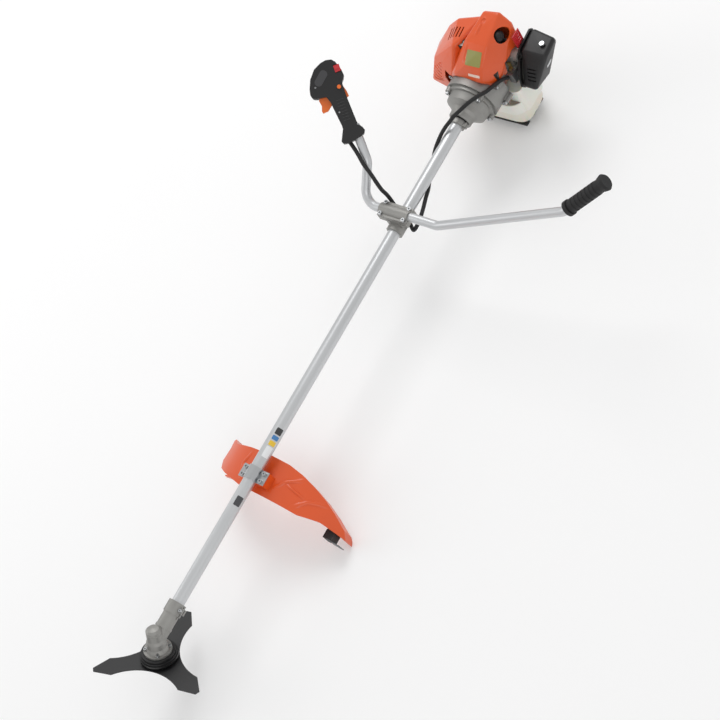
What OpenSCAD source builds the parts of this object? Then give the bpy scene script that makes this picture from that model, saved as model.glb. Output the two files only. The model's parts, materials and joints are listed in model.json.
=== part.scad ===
// Petrol brush cutter: 26 mm shaft tube, angled gear head with a three-tooth blade,
// guard, bike handle and a two-stroke engine.
// Machine axes: +Y runs along the shaft from the blade to the engine, +Z is up,
// +X is the user's left. The origin is on the ground under the middle of the tank.

/* [Shaft] */
// Outer diameter of the shaft tube
tube_d = 26; // [24:1:28]
// Wall of the shaft tube
tube_wall = 1.5; // [1.2:0.1:2]
// Free length of the tube between gear case and clutch housing
tube_free = 1110; // [900:10:1600]
// Diameter of the drive shaft
rod_d = 8; // [7:0.5:9]

/* [Gear head] */
// Lean of the blade axis back from the vertical
head_tilt = 30; // [25:1:35]
// Distance from the collar's edge to the crossing of the two axes
head_reach = 81; // [74:1:100]
// Radius of the upright barrel of the gear case
case_r = 19; // [18:0.5:22]
// Wall of the neck round the tube
neck_wall = 3; // [2.5:0.5:5]
// Wall of the collar at the end of the neck
collar_wall = 5; // [4:0.5:8]
// Teeth on the pinion
pinion_teeth = 14; // [12:1:16]
// Teeth on the output gear
gear_teeth = 19; // [17:1:21]

/* [Blade] */
// Diameter of the blade over its tips
blade_d = 255; // [220:1:305]
// Thickness of the blade
blade_t = 1.4; // [1:0.1:2]
// Distance from the crossing of the axes down to the blade's upper face
blade_drop = 44; // [42:1:60]
// Hole in the middle of the blade
blade_bore = 25.4; // [20:0.1:26]

/* [Guard] */
// Distance of the guard's clamp from the gear case collar
guard_y = 284; // [150:1:420]
// Radius of the guard's curved roof
guard_r = 212; // [200:1:240]
// Wall of the guard
guard_wall = 2.5; // [2:0.25:3]

/* [Handlebar] */
// Distance of the handlebar from the gear case collar
bar_y = 877; // [700:1:1000]
// Outer diameter of the handlebar tube
bar_d = 19; // [18:0.5:20]
// Backward lean of the handlebar
bar_tilt = 45; // [30:1:60]
// Bend radius on the handlebar's centre line
bend_r = 32; // [28:1:36]
// Length of the plain arm between its two bends
plain_arm = 300; // [240:5:330]
// Length of the plain grip
grip_len = 106; // [90:1:115]

/* [Engine] */
// Height of the shaft axis above the ground
axis_h = 138; // [136:1:160]
// Radius of the fan housing
fan_r = 58; // [57:0.5:60]
// Cylinder bore diameter
bore_d = 40; // [38:0.5:42]
// Piston stroke
stroke = 30; // [26:1:32]
// Wall of the moulded covers
cover_wall = 2.5; // [2:0.25:3]
// Wall of the fuel tank
tank_wall = 2.5; // [2:0.25:3]

/* [Fits] */
// Radial clearance of a turning fit
run_gap = 0.04; // [0.02:0.01:0.08]
// Clearance between pieces that are bolted together
seat_gap = 0.1; // [0.05:0.05:0.3]

/* [Hidden] */
$fn = 48;
EPS = 0.01;

// colours
orange = "#dd5f2c";
black = "#262626";
cast_metal = "#9a9896";
bright_metal = "#cfd2d4";
steel = "#8d9094";

// shaft
tube_r = tube_d / 2;
rod_r = rod_d / 2;
neck_r = tube_r + neck_wall;
collar_r = tube_r + collar_wall;
clamp_r = tube_r + 4;     // clamp round the tube in the clutch housing's mouth
rubber_wall = 3.3;        // rubber sleeve round that clamp
seat_depth = 32;          // tube inside the gear case neck
mouth_y = tube_free;      // mouth of the clutch housing
mouth_depth = 20;         // tube inside the clutch housing
tank_y = mouth_y + 147;   // middle of the tank

// gear head: cone distances and cone angles of the bevel pair
shaft_angle = 90 + head_tilt;
cone_out = 15.6;
cone_in = 10.6;
pinion_cone = atan(sin(shaft_angle) / (gear_teeth / pinion_teeth + cos(shaft_angle)));
gear_cone = shaft_angle - pinion_cone;
tooth_up = 3.6;           // tooth above the pitch cone, in degrees
tooth_down = 5.5;         // tooth below the pitch cone, in degrees
chamber_r = 15.9;
shaft_r = 5;
head_bearing = [10, 22, 6];
flange_z = -25;

// handlebar
bar_r = bar_d / 2;
bar_wall = 2;
bar_z = tube_r + bar_r + 7.5;
bar_centre = 104;         // middle of the bar to the plain side's first bend
bar_short = 79;           // middle of the bar to the throttle side's bend
rise = 88;                // throttle side's upright between its bends
arm_rise = 20;            // upward angle of the plain arm
grip_rise = 24;           // further bend before the plain grip
handle_lean = 31;         // outward lean of the throttle handle
handle_turn = 49;         // turn of the throttle handle about its own axis
handle_run = 50;          // upper bend to the bottom of the throttle handle
clamp_screws = [29, 13];  // handlebar clamp's screws, from its middle
tube_in_handle = 22;
handle_shift = 9;         // bar axis behind the middle of the handle

// throttle handle: outline seen from its side, [towards the palm, up]
handle_outline = [
    [-26, 4], [-23, -2], [-12, -4], [14, 0], [22, 4], [25.5, 10], [23, 17],
    [17, 25], [16, 32], [14.5, 84], [15, 100], [15.5, 114], [20, 119],
    [24, 126], [23, 138], [17, 156], [11, 163], [0, 165.5], [-12, 163.5],
    [-28, 156], [-42, 140], [-50, 122], [-52.5, 111], [-50, 103], [-44, 100],
    [-34, 98.5], [-24, 97], [-19.5, 84], [-18.5, 72], [-14.5, 34], [-15, 26],
];
handle_w = 30;
handle_wall = 2.5;
trigger_pivot = [-20, 103];

// engine stations along the shaft, measured from the mouth
clutch_end = 66;
fan_end = 112;
bore_y = 152;
case_end = 182;
crank_r = 36;
bearing_f = 124;
bearing_b = 166;
main_bearing = [15, 35, 11];
web_r = 28;
drum_r = 39;
plug_seat = [16, 154, 95];
plug_tilt = 75;
plug_turn = 15;
carb_y = 170;
base_x = 84;              // back of the air filter base
cover_top = 68;           // top face of the air cleaner cover at its screw
foot_h = 5;
piston_z = 33;            // skirt of the piston at the bottom of its stroke
piston_h = 22;
piston_gap = 0.05;
cap_pos = [20, 188, -98];

// cable sleeve: route of its centre line, in the frame of the shaft axis
cable_r = 4.2;
cable_sides = 10;
cable_points = [
    [-121, 958, 130], [-117, 954, 125], [-104, 946, 118], [-92, 938, 111],
    [-76, 926, 103], [-56, 915, 92], [-42, 906, 78], [-35, 902, 62],
    [-32, 903, 44], [-31, 903, 26], [-30, 902, 8], [-25, 900, -7],
    [-15, 897, -20], [2, 888, -25], [18, 876, -21], [28, 872, -15],
    [31, 880, -12], [29, 896, -12], [23, 918, -13], [15, 943, -13],
    [6, 966, -17], [-3, 986, -18], [-11, 1012, -15], [-17, 1036, -7],
    [-18, 1054, 1], [-15, 1076, 11], [-8, 1090, 21], [0, 1100, 29],
    [7, 1114, 35], [16, 1128, 39], [28, 1144, 45], [44, 1164, 49],
    [52, 1180, 44], [57, 1198, 40], [63, 1214, 37], [67, 1225, 32],
    [69, 1233, 26],
];

// the route's points are given for these sizes; each part of the route moves with the piece
// that it is fastened to, and all of it keeps its gap from the tube
route_bar_y = 877;
route_mouth_y = 1110;
route_split_y = 980;
route_tube_r = 13;
route_bar_z = 30;
route_handle_z = 50;
function route_along(p) =
    [0, p[1] > route_split_y ? mouth_y - route_mouth_y : bar_y - route_bar_y, 0];
function route_out(p) = p[1] < route_split_y && p[2] > route_handle_z ?
    [0, 0, bar_z - route_bar_z] : (tube_r - route_tube_r) * unit([p[0], 0, p[2]]);
cable_route = [for (p = cable_points) p + route_along(p) + route_out(p)];

// ---------------------------------------------------------------- frames

// from the shaft axis frame to the ground frame
module place() {
    translate([0, -tank_y, axis_h]) children();
}

// gear head frame: origin where the axes cross, +Z away from the blade
module head() {
    place() translate([0, -head_reach, 0]) rotate([-head_tilt, 0, 0]) children();
}

// engine frame: origin on the shaft axis at the clutch housing's mouth
module engine() {
    place() translate([0, mouth_y, 0]) children();
}

// handlebar frame: the bar lies in its XZ plane
module bar() {
    place() translate([0, bar_y, bar_z]) rotate([-bar_tilt, 0, 0]) children();
}

// ---------------------------------------------------------------- helpers

// cylinder along Y between two stations
module rod_y(r, y0, y1) {
    translate([0, y0, 0]) rotate([-90, 0, 0]) cylinder(r = r, h = y1 - y0);
}

// pipe along Y between two stations
module pipe_y(ro, ri, y0, y1) {
    difference() {
        rod_y(ro, y0, y1);
        rod_y(ri, y0 - 1, y1 + 1);
    }
}

module pipe_z(ro, ri, z0, z1) {
    translate([0, 0, z0]) difference() {
        cylinder(r = ro, h = z1 - z0);
        translate([0, 0, -1]) cylinder(r = ri, h = z1 - z0 + 2);
    }
}

// block between two corners
module block(x, y, z) {
    translate([x[0], y[0], z[0]])
        cube([x[1] - x[0], y[1] - y[0], z[1] - z[0]]);
}

// turned shape about Y; points are [radius, station]
module turned_y(points) {
    rotate([-90, 0, 0]) rotate_extrude() polygon(points);
}

// socket head screw pointing down, head's underside at the origin
module screw(d, l) {
    difference() {
        union() {
            cylinder(r = d * 0.85, h = d);
            translate([0, 0, -l]) cylinder(r = d / 2, h = l + EPS);
        }
        translate([0, 0, d * 0.4]) cylinder(r = d * 0.45, h = d, $fn = 6);
    }
}

// side profile in the YZ plane, extruded along X between two stations
module profile_x(x0, x1) {
    translate([x0, 0, 0]) rotate([90, 0, 90]) linear_extrude(x1 - x0) children();
}

// ---------------------------------------------------------------- gear head

module case_bolt_spots() {
    for (a = [45 : 90 : 315]) rotate([0, 0, a]) translate([case_r + 4.4, 0, flange_z + 4.7])
        children();
}

module gear_case() color(cast_metal) difference() {
    union() {
        head() rotate_extrude() polygon([[0, flange_z], [case_r + 8.5, flange_z],
            [case_r + 8.5, flange_z + 5], [case_r + 3.5, flange_z + 5], [case_r, -12],
            [case_r - 0.5, 0], [case_r - 3, 6], [case_r - 3.5, 20], [case_r - 4.5, 21],
            [case_r - 3.5, 22], [case_r - 4, 27], [case_r - 8, 31], [0, 33]]);
        place() rod_y(neck_r, -head_reach + 4, 0);
        place() rod_y(collar_r, -24, 0);
        place() rod_y(neck_r + 1, -55, -50);
        place() block([collar_r - 4, collar_r + 5.5], [-18, -6], [-6, 6]);
    }
    // bearings, gears and shaft
    head() translate([0, 0, flange_z - 1])
        cylinder(r = head_bearing[1] / 2 + seat_gap / 2, h = 20);
    head() translate([0, 0, -10.9]) cylinder(r = chamber_r, h = 9.5);
    head() translate([0, 0, -2]) cylinder(r = 13.5, h = 16);
    place() translate([0, -head_reach, 0]) rod_y(13.4, 0, 18);
    place() rod_y(head_bearing[1] / 2 + seat_gap / 2, -head_reach + 2, 1);
    place() rod_y(tube_r + 0.05, -seat_depth - 2, 1);
    // slit and hole of the collar's clamp
    place() block([tube_r - 3, collar_r + 8], [-30, 1], [-1, 1]);
    place() translate([collar_r + 2, -12, 0]) cylinder(r = 2.2, h = 30, center = true);
    place() translate([collar_r + 2, -12, 6]) cylinder(r = 3.8, h = 20);
    head() case_bolt_spots() {
        translate([0, 0, -20]) cylinder(r = 2.2, h = 21);
        cylinder(r = 3.7, h = 20);
    }
}

module case_screws() color(bright_metal) {
    head() case_bolt_spots() screw(4, 9);
    place() translate([collar_r + 2, -12, 6]) screw(4, 11);
    guard_screw_spots() screw(5, 14);
    clamp_screw_spots() screw(5, 16);
    engine_screw_spots() screw(5, 12);
    handle_screw_spots() screw(4, handle_w - 6);
}

module dust_cover() color(black) head() difference() {
    union() {
        pipe_z(33, 24.5, flange_z - 5, flange_z - 0.2);
        pipe_z(35.5, 26, flange_z - 9, flange_z - 4.9);
        pipe_z(37.5, 28, flange_z - 13, flange_z - 8.9);
    }
    case_bolt_spots() translate([0, 0, -20]) cylinder(r = 2.2, h = 21);
}

module bearing(size) {
    ro = size[1] / 2;
    ri = size[0] / 2 + run_gap;
    rm = (ro + ri) / 2;
    difference() {
        cylinder(r = ro, h = size[2]);
        translate([0, 0, -1]) cylinder(r = ri, h = size[2] + 2);
        for (z = [-EPS, size[2] - 1]) translate([0, 0, z]) difference() {
            cylinder(r = rm + 1.6, h = 1 + EPS);
            translate([0, 0, -1]) cylinder(r = rm - 1.6, h = 4);
        }
    }
}

module ball_bearings() color(steel) {
    head() for (z = [-17.3, -24.5]) translate([0, 0, z]) bearing(head_bearing);
    place() for (y = [-60, -50]) translate([0, y, 0]) rotate([-90, 0, 0]) bearing(head_bearing);
    engine() for (y = [23.2, 31.4]) translate([0, y, 0]) rotate([-90, 0, 0]) bearing([12, 28, 8]);
    engine() for (y = [bearing_f, bearing_b]) translate([0, y, 0]) rotate([-90, 0, 0])
        bearing(main_bearing);
}

// point on a cone about Z: cone distance, angle from the axis, turn
function cone_pt(d, a, t) = [d * sin(a) * cos(t), d * sin(a) * sin(t), d * cos(a)];

// straight bevel teeth on a pitch cone
module bevel_teeth(cone, teeth, turn) {
    root = cone - tooth_down - 0.5;
    tip = cone + tooth_up;
    w_root = 360 / teeth * 0.24;
    w_tip = 360 / teeth * 0.10;
    for (i = [0 : teeth - 1]) {
        t = turn + i * 360 / teeth;
        polyhedron(
            points = [
                cone_pt(cone_out, root, t - w_root), cone_pt(cone_out, root, t + w_root),
                cone_pt(cone_out, tip, t + w_tip), cone_pt(cone_out, tip, t - w_tip),
                cone_pt(cone_in, root, t - w_root), cone_pt(cone_in, root, t + w_root),
                cone_pt(cone_in, tip, t + w_tip), cone_pt(cone_in, tip, t - w_tip)],
            faces = [[0, 1, 2, 3], [7, 6, 5, 4], [4, 5, 1, 0],
                [5, 6, 2, 1], [6, 7, 3, 2], [7, 4, 0, 3]]);
    }
}

module pinion() color(steel) place() translate([0, -head_reach, 0]) difference() {
    root = pinion_cone - tooth_down;
    union() {
        rotate([-90, 0, 0]) rotate_extrude() polygon([
            [0, cone_in * cos(root)],
            [cone_in * sin(root), cone_in * cos(root)],
            [cone_out * sin(root), cone_out * cos(root)],
            [cone_out * sin(root), cone_out * cos(root) + 2],
            [7.2, cone_out * cos(root) + 3], [7.2, head_reach - 60.2],
            [5, head_reach - 60.2], [5, head_reach - 40], [0, head_reach - 40]]);
        rotate([-90, 0, 0]) bevel_teeth(pinion_cone, pinion_teeth, 90 + 180 / pinion_teeth);
    }
    rod_y(3.02, head_reach - 58, head_reach - 40);
}

module bevel_gear() color(steel) head() difference() {
    root = gear_cone - tooth_down;
    union() {
        mirror([0, 0, 1]) rotate_extrude() polygon([
            [0, cone_in * cos(root)],
            [cone_in * sin(root), cone_in * cos(root)],
            [cone_out * sin(root), cone_out * cos(root)],
            [cone_out * sin(root), 8.6], [7.5, 9.2], [7.5, 10.8], [0, 10.8]]);
        mirror([0, 0, 1]) bevel_teeth(gear_cone, gear_teeth, 90);
    }
    translate([0, 0, -30]) cylinder(r = shaft_r + seat_gap / 2, h = 40);
}

module output_shaft() color(steel) head() union() {
    translate([0, 0, -blade_drop - 22]) cylinder(r = shaft_r, h = blade_drop + 22 - 4.2);
}

module inner_flange() color(cast_metal) head() difference() {
    union() {
        translate([0, 0, -blade_drop]) cylinder(r = 22.5, h = 5);
        translate([0, 0, -blade_drop - blade_t + 0.2]) cylinder(r = blade_bore / 2 - 0.1, h = 4);
        translate([0, 0, -blade_drop]) cylinder(r = 7.2, h = blade_drop - 24.7);
    }
    translate([0, 0, -blade_drop - 5]) cylinder(r = shaft_r + 0.02, h = 40);
}

// one edge arc between two teeth: shoulder circle, valley and blade radius
module blade_outline() {
    tip_r = blade_d / 2;
    tip_w = 4.7;
    shoulder = [tip_r * 0.74, tip_r * 0.175];
    valley = tip_r * 0.3;
    half = norm(shoulder) * sin(60 - atan(shoulder[1] / shoulder[0]));
    dip = norm(shoulder) * cos(60 - atan(shoulder[1] / shoulder[0])) - valley;
    arc_r = (half * half + dip * dip) / (2 * dip);
    difference() {
        for (a = [0, 120, 240]) rotate(a) polygon([
            [-20, -tip_r * 0.5], shoulder - [0, 2 * shoulder[1]], [tip_r, -tip_w],
            [tip_r, tip_w], shoulder, [-20, tip_r * 0.5]]);
        for (a = [60, 180, 300]) rotate(a) translate([valley + arc_r, 0])
            circle(r = arc_r, $fn = 96);
    }
}

module blade() color("#2b2b2c") head() rotate([0, 0, -12.5])
    translate([0, 0, -blade_drop - blade_t]) difference() {
        linear_extrude(blade_t) blade_outline();
        translate([0, 0, -1]) cylinder(r = blade_bore / 2, h = 4);
        for (a = [60, 180, 300]) rotate([0, 0, a]) translate([27, 0, -1])
            cylinder(r = 3, h = 4);
    }

module outer_flange() color(steel) head() difference() {
    translate([0, 0, -blade_drop - blade_t]) mirror([0, 0, 1]) union() {
        cylinder(r = 23, h = 3);
        cylinder(r1 = 36, r2 = 30, h = 8);
    }
    translate([0, 0, -blade_drop - blade_t - 9]) cylinder(r = 27, h = 5);
    translate([0, 0, -blade_drop - 30]) cylinder(r = shaft_r + seat_gap, h = 40);
}

module blade_nut() color(bright_metal) head() translate([0, 0, -blade_drop - blade_t - 14.1]) difference() {
    union() {
        cylinder(r = 9.8, h = 9, $fn = 6);
        translate([0, 0, 8]) cylinder(r = 11.5, h = 2);
    }
    translate([0, 0, -1]) cylinder(r = shaft_r + 0.02, h = 14);
}

// ---------------------------------------------------------------- shaft

module shaft_tube() color("#d9dcde") place()
    pipe_y(tube_r, tube_r - tube_wall, -seat_depth, mouth_y + mouth_depth);

module drive_shaft() color(steel) place() union() {
    rod_y(rod_r, -seat_depth - 4, mouth_y + 21.5);
    rod_y(3, -56, -seat_depth - 3);
    rod_y(3, mouth_y + 21, mouth_y + 36);
}

bush_count = 5;
module shaft_bushes() color("#3a3a3c") place()
    for (i = [0 : bush_count - 1])
        translate([0, 40 + i * (tube_free - 90) / (bush_count - 1), 0])
            pipe_y(tube_r - tube_wall - 0.02, rod_r + run_gap, 0, 28);

// ---------------------------------------------------------------- guard

guard_top = -tube_r - 11;
guard_outline = [
    [-100, -12], [-34, -27], [100, -30], [138, -20], [164, -22], [180, -24],
    [173, -9], [152, 9], [130, 23], [105, 34], [75, 44], [44, 50], [-1, 52],
    [-60, 53], [-112, 52], [-128, 62], [-136, 60], [-132, 40], [-136, 14], [-122, -4],
];

// band of the guard's roof between two depths below its top
module guard_band(depth0, depth1) {
    translate([0, 0, guard_top - guard_r]) rotate([-90, 0, 0]) difference() {
        translate([0, 0, -60]) cylinder(r = guard_r - depth0, h = 130, $fn = 120);
        translate([0, 0, -61]) cylinder(r = guard_r - depth1, h = 132, $fn = 120);
    }
}

module guard() color(orange) place() translate([0, guard_y, 0]) difference() {
    union() {
        intersection() {
            guard_band(0, guard_wall);
            translate([0, 0, guard_top - 130]) linear_extrude(150) polygon(guard_outline);
        }
        intersection() {
            guard_band(0, 18);
            translate([0, 0, guard_top - 130]) linear_extrude(150) difference() {
                polygon(guard_outline);
                polygon([for (p = guard_outline)
                    [p[0] * 0.975, p[1] > 0 ? p[1] - guard_wall : p[1] - 9]]);
            }
        }
        intersection() {
            guard_band(0, 8);
            block([-90, 150], [-19, -16], [guard_top - 130, 10]);
        }
    }
    for (x = [-23, 23]) for (y = [-8, 8]) translate([x, y, 0])
        cylinder(r = 2.7, h = 200, center = true);
}

module guard_screw_spots() {
    place() translate([0, guard_y, 0]) for (x = [-23, 23]) for (y = [-8, 8])
        translate([x, y, -2]) children();
}

module guard_bracket() color(orange) place() translate([0, guard_y, 0]) difference() {
    block([-31, 31], [-14, 14], [guard_top - 4, -4.1]);
    rod_y(tube_r + seat_gap / 2, -20, 20);
    translate([0, 0, guard_top - guard_r]) rotate([-90, 0, 0])
        translate([0, 0, -30]) cylinder(r = guard_r + seat_gap, h = 60, $fn = 240);
    for (x = [-23, 23]) for (y = [-8, 8]) translate([x, y, 0])
        cylinder(r = 2.7, h = 90, center = true);
}

module guard_strap() color("#c8ccce") place() translate([0, guard_y, 0]) difference() {
    union() {
        rod_y(tube_r + 2, -14, 14);
        block([-32, 32], [-14, 14], [-4, -2]);
    }
    rod_y(tube_r + seat_gap / 2, -20, 20);
    block([-60, 60], [-20, 20], [-40, -4]);
    for (x = [-23, 23]) for (y = [-8, 8]) translate([x, y, 0])
        cylinder(r = 2.7, h = 90, center = true);
}

module line_cutter() color(black) place() translate([0, guard_y, 0]) difference() {
    union() {
        block([142, 162], [-38, -20], [-130, -104]);
        block([146, 160], [-21, -14], [-122, -100]);
    }
    guard_band(-seat_gap, guard_wall + seat_gap);
    translate([0, 0, guard_top - guard_r]) rotate([-90, 0, 0])
        difference() {
            translate([0, 0, -60]) cylinder(r = 400, h = 120);
            translate([0, 0, -61]) cylinder(r = guard_r - guard_wall, h = 122);
        }
}

module line_knife() color(steel) place() translate([0, guard_y, 0])
    translate([158, -40, -118]) rotate([90, 0, 0]) mirror([0, 0, 1])
        linear_extrude(1.6) polygon([[3, 8], [20, 4], [21, -17.5], [3, -6]]);

// ---------------------------------------------------------------- handlebar

function tangent(a) = bend_r * tan(abs(a) / 2);
// runs of the bar: [straight length, bend after it]
plain_side = [
    [bar_centre - tangent(arm_rise), arm_rise],
    [plain_arm - tangent(arm_rise) - tangent(grip_rise), grip_rise],
    [grip_len - tangent(grip_rise), 0]];
short_side = [
    [bar_short - tangent(90), 90],
    [rise - tangent(90) - tangent(handle_lean), -handle_lean],
    [handle_run - tangent(handle_lean), 0]];

module turn_corner(a) {
    translate([bend_r * sin(abs(a)), 0, sign(a) * bend_r * (1 - cos(a))])
        rotate([0, -a, 0]) children();
}

// places children at the end of a run, +X along the tube
module run_end(steps) {
    translate([steps[0][0], 0, 0]) {
        if (len(steps) > 1)
            turn_corner(steps[0][1]) run_end([for (i = [1 : len(steps) - 1]) steps[i]]) children();
        else
            children();
    }
}

handle_side = [short_side[0], short_side[1], [short_side[2][0] + tube_in_handle, 0]];

// stops along a run as [[x, z], heading], with several in every bend
bar_sides = 20;
bend_step = 10;
function heading(h) = [cos(h), sin(h)];
function side_of(h) = [-sin(h), cos(h)];
function bend_stops(p, h, a) =
    let (n = ceil(abs(a) / bend_step), c = p + sign(a) * bend_r * side_of(h))
    [for (i = [0 : n]) let (t = h + a * i / n) [c - sign(a) * bend_r * side_of(t), t]];
function run_stops(steps, p, h, i = 0) =
    let (q = p + steps[i][0] * heading(h), a = steps[i][1])
    a == 0 ? [[q, h]] :
    let (b = bend_stops(q, h, a)) concat(b, run_stops(steps, b[len(b) - 1][0], h + a, i + 1));
function turned_back(stops) = [for (i = [len(stops) - 1 : -1 : 0])
    [[-stops[i][0][0], stops[i][0][1]], -stops[i][1]]];
function bar_stops() = concat(turned_back(run_stops(handle_side, [0, 0], 0)),
    run_stops(plain_side, [0, 0], 0));
function bar_ring(stop, r) = [for (k = [0 : bar_sides - 1])
    let (t = 360 * k / bar_sides, s = r * cos(t) * side_of(stop[1]))
    [stop[0][0] + s[0], r * sin(t), stop[0][1] + s[1]]];

module handlebar() color("#d9dcde") bar() {
    stops = bar_stops();
    n = bar_sides;
    rings = len(stops);
    inner = rings * n;
    last = (rings - 1) * n;
    polyhedron(
        points = [
            for (st = stops) each bar_ring(st, bar_r),
            for (st = stops) each bar_ring(st, bar_r - bar_wall)],
        faces = [
            for (i = [0 : rings - 2]) for (k = [0 : n - 1]) let (a = i * n, m = (k + 1) % n)
                [a + k, a + m, a + n + m, a + n + k],
            for (i = [0 : rings - 2]) for (k = [0 : n - 1])
                let (a = inner + i * n, m = (k + 1) % n) [a + k, a + n + k, a + n + m, a + m],
            for (k = [0 : n - 1]) let (m = (k + 1) % n) [k, inner + k, inner + m, m],
            for (k = [0 : n - 1]) let (m = (k + 1) % n)
                [last + k, last + m, inner + last + m, inner + last + k]]);
}

module plain_grip() color(black) bar() run_end(plain_side) rotate([0, 90, 0]) {
    l = grip_len - tangent(grip_rise) - 3;
    translate([0, 0, -l]) difference() {
        union() {
            cylinder(r = 16, h = 8);
            cylinder(r = 13.5, h = l);
            for (i = [0 : 6]) translate([0, 0, 15 + i * 9.5]) cylinder(r = 14.2, h = 6);
            translate([0, 0, l - 6]) cylinder(r1 = 15, r2 = 17, h = 8);
            translate([0, 0, l + 2]) cylinder(r1 = 17, r2 = 14, h = 4);
        }
        translate([0, 0, -1]) cylinder(r = bar_r + seat_gap / 2, h = l + 1.1);
    }
}

module clamp_screw_spots_local() {
    for (x = [-1, 1]) for (y = [-1, 1])
        translate([x * clamp_screws[0], y * clamp_screws[1], bar_z + 4]) children();
}
module clamp_screw_spots() {
    place() translate([0, bar_y, 0]) clamp_screw_spots_local() children();
}

module clamp_holes() {
    translate([0, 0, bar_z]) rotate([0, 90, 0])
        cylinder(r = bar_r + seat_gap / 2, h = 120, center = true);
    rod_y(tube_r + seat_gap / 2, -60, 60);
    for (x = [-1, 1]) for (y = [-1, 1]) translate([x * clamp_screws[0], y * clamp_screws[1], 0])
        cylinder(r = 2.7, h = 120, center = true);
}

module bar_clamp_base() color(cast_metal) place() translate([0, bar_y, 0]) difference() {
    union() {
        block([-36, 36], [-17, 17], [bar_z - 14, bar_z - 0.5]);
        rod_y(tube_r + 5, -30, 20);
        block([-tube_r - 5, tube_r + 5], [-18, 18], [0, bar_z - 8]);
    }
    clamp_holes();
}

module bar_clamp_cap() color(cast_metal) place() translate([0, bar_y, 0]) difference() {
    union() {
        block([-36, 36], [-17, 17], [bar_z + 0.5, bar_z + 4]);
        translate([-36, 0, bar_z]) rotate([0, 90, 0]) cylinder(r = bar_r + 3.5, h = 72);
    }
    clamp_holes();
    clamp_screw_spots_local() cylinder(r = 4.6, h = 20);
    block([-60, 60], [-40, 40], [-40, bar_z + 0.5]);
}

// ---------------------------------------------------------------- throttle handle

module handle_frame() {
    bar() mirror([1, 0, 0]) run_end(short_side) mirror([1, 0, 0])
        rotate([0, -90, 0]) rotate([0, 0, -handle_turn])
        translate([0, -handle_shift, 0]) children();
}

// half of the handle, hollow, on one side of its middle plane
module handle_half(side) {
    x = side > 0 ? [0.05, handle_w / 2] : [-handle_w / 2, -0.05];
    difference() {
        profile_x(x[0], x[1]) polygon(handle_outline);
        profile_x(side > 0 ? -1 : x[0] + handle_wall, side > 0 ? x[1] - handle_wall : 1)
            offset(delta = -handle_wall) polygon(handle_outline);
        // socket for the bar and the cable
        translate([0, handle_shift, -10]) cylinder(r = bar_r + 0.05, h = tube_in_handle + 10.2);
        translate([0, -11, -10]) cylinder(r = cable_r + 0.6, h = 20);
        // openings for the trigger, lever, button and switch
        block([-6, 6], [-48, -12], [62, 112]);
        block([-5.5, 5.5], [6, 30], [80, 113]);
        if (side > 0) {
            translate([0, 7, 107]) rotate([0, 90, 0]) cylinder(r = 4.3, h = 40);
            block([8, 40], [9.7, 22.3], [134.7, 151.3]);
        }
        handle_screw_holes();
    }
}

handle_screw_yz = [[16.5, 26], [-10, 60], [-38, 122]];
module handle_screw_holes() {
    for (p = handle_screw_yz) translate([0, p[0], p[1]]) rotate([0, 90, 0])
        cylinder(r = 2.2, h = 60, center = true);
}

module handle_screw_spots() {
    handle_frame() for (p = handle_screw_yz)
        translate([-handle_w / 2, p[0], p[1]]) rotate([0, -90, 0]) children();
}

module throttle_shell_left() color(black) handle_frame() handle_half(1);
module throttle_shell_right() color(black) handle_frame() handle_half(-1);

module trigger() color(orange) handle_frame() difference() {
    profile_x(-5, 5) polygon([
        [-23, 108], [-16, 106], [-14, 98], [-14.5, 86], [-20, 78], [-30, 70],
        [-41, 69.5], [-42, 74], [-38.5, 84], [-40.5, 96], [-30, 104]]);
    translate([0, trigger_pivot[0], trigger_pivot[1]]) rotate([0, 90, 0])
        cylinder(r = 1.6, h = 20, center = true);
}

module safety_lever() color(orange) handle_frame() union() {
    profile_x(-4.5, 4.5) polygon([
        [7, 105], [7, 111], [11, 111.5], [15.5, 106], [18.5, 95], [19.5, 85],
        [15, 83], [11.5, 92]]);
}

module stop_switch() color("#c0282d") handle_frame()
    translate([handle_w / 2 - 4, 16, 143]) union() {
        block([-2, 4], [-6, 6], [-7, 7]);
        block([4, 6.5], [-5, 5], [-1, 4]);
    }

module lock_button() color(orange) handle_frame() translate([handle_w / 2 - 4, 7, 107])
    rotate([0, 90, 0]) cylinder(r = 4, h = 8);

// ---------------------------------------------------------------- cable sleeve

function unit(v) = v / norm(v);
function along(p, i) = unit(
    i == 0 ? p[1] - p[0] :
    i == len(p) - 1 ? p[i] - p[i - 1] : p[i + 1] - p[i - 1]);
function start_normal(d) = unit(cross(d, abs(d[2]) < 0.9 ? [0, 0, 1] : [1, 0, 0]));
// normals carried along the route without twist
function carry(p, i) = i == 0 ? start_normal(along(p, 0)) :
    let (n = carry(p, i - 1), d = along(p, i)) unit(n - d * (n * d));
function ring_points(p, r, sides) = [
    for (i = [0 : len(p) - 1])
        let (d = along(p, i), n = carry(p, i), b = cross(d, n))
        for (k = [0 : sides - 1])
            p[i] + r * (cos(k * 360 / sides) * n + sin(k * 360 / sides) * b)];

module swept_tube(p, r, sides) {
    n = len(p);
    polyhedron(
        points = ring_points(p, r, sides),
        faces = concat(
            [[for (k = [sides - 1 : -1 : 0]) k]],
            [for (i = [0 : n - 2]) for (k = [0 : sides - 1])
                [i * sides + k, i * sides + (k + 1) % sides, (i + 1) * sides + (k + 1) % sides]],
            [for (i = [0 : n - 2]) for (k = [0 : sides - 1])
                [i * sides + k, (i + 1) * sides + (k + 1) % sides, (i + 1) * sides + k]],
            [[for (k = [0 : sides - 1]) (n - 1) * sides + k]]));
}

module cable_sleeve() color("#1e1e1e") place() swept_tube(cable_route, cable_r, cable_sides);

// ---------------------------------------------------------------- clutch end

module ear_spots(r, angles) {
    for (a = angles) rotate([0, a, 0]) translate([r, 0, 0]) children();
}
clutch_ears = [40, 140, 220, 320];
case_ears = [25, 155, 205, 335];

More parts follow.
